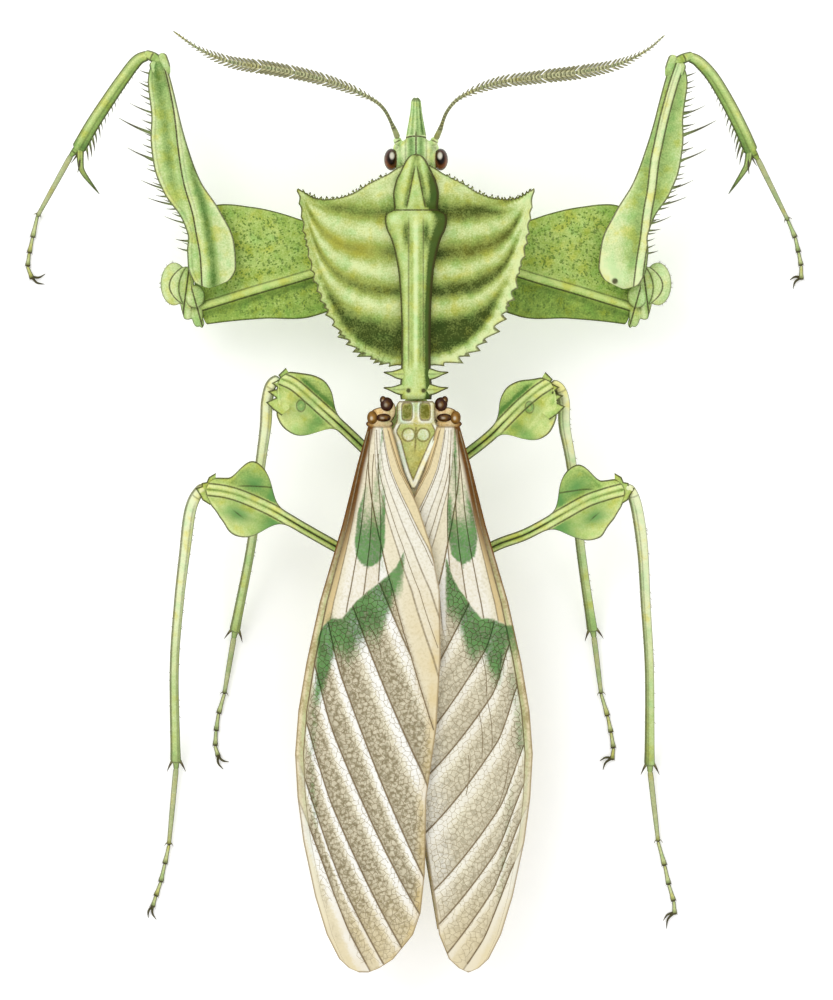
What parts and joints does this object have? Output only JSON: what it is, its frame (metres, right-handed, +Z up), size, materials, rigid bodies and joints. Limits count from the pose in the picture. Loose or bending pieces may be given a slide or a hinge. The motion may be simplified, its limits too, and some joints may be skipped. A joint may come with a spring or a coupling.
{
  "type": "praying mantis",
  "caption": "Still, life-size praying mantis with a broad toothed shield, leaf-lobed legs and closed patterned wings, standing with its spiny forelegs spread.",
  "frame": {"origin": "floor level under the middle of the bounding box", "axes": "+Z up; +Y along the body towards the head; +X towards the animal's right side"},
  "size_m": [0.0946, 0.113, 0.0229],
  "materials": {
    "shield": "satin green cuticle with darker folds and a pale toothed rim",
    "limb": "satin green cuticle, speckled on the forelegs, with pale ribs",
    "tibia": "pale yellow-green cuticle",
    "foot": "pale olive cuticle with brown claws",
    "head": "pale green cuticle with darker lines",
    "eye": "glossy dark red-brown",
    "feeler": "dull olive-brown",
    "wing": "satin beige with white veins, brown mesh and green bands",
    "hindwing": "dull smoky tan",
    "abdomen": "satin olive cuticle, paler below",
    "thorax": "satin pale green cuticle",
    "scutellum": "satin olive-yellow plate with pale borders",
    "wing_root": "glossy red-brown knobs"
  },
  "bodies": {
    "root": {"abdomen_1": "abdomen", "abdomen_2": "abdomen", "abdomen_3": "abdomen", "abdomen_4": "abdomen", "abdomen_5": "abdomen", "abdomen_6": "abdomen", "abdomen_7": "abdomen", "antenna_left": "feeler", "antenna_right": "feeler", "cercus_left": "abdomen", "cercus_right": "abdomen", "eye_left": "eye", "eye_right": "eye", "fore_coxa_left": "limb", "fore_coxa_right": "limb", "fore_femur_left": "limb", "fore_femur_right": "limb", "fore_tarsus_left": "foot", "fore_tarsus_right": "foot", "fore_tibia_left": "tibia", "fore_tibia_right": "tibia", "fore_trochanter_left": "limb", "fore_trochanter_right": "limb", "head": "head", "hind_coxa_left": "thorax", "hind_coxa_right": "thorax", "hind_femur_left": "limb", "hind_femur_right": "limb", "hind_tarsus_left": "foot", "hind_tarsus_right": "foot", "hind_tibia_left": "tibia", "hind_tibia_right": "tibia", "hindwing_left": "hindwing", "hindwing_right": "hindwing", "labrum": "head", "mandible_left": "head", "mandible_right": "head", "mesothorax": "thorax", "metathorax": "thorax", "mid_coxa_left": "thorax", "mid_coxa_right": "thorax", "mid_femur_left": "limb", "mid_femur_right": "limb", "mid_tarsus_left": "foot", "mid_tarsus_right": "foot", "mid_tibia_left": "tibia", "mid_tibia_right": "tibia", "neck": "head", "palp_left": "head", "palp_right": "head", "pronotum": "shield", "prothorax": "thorax", "scutellum": "scutellum", "tegmen_left": "wing", "tegmen_right": "wing", "wing_root_left": "wing_root", "wing_root_right": "wing_root"}
  },
  "joints": []
}
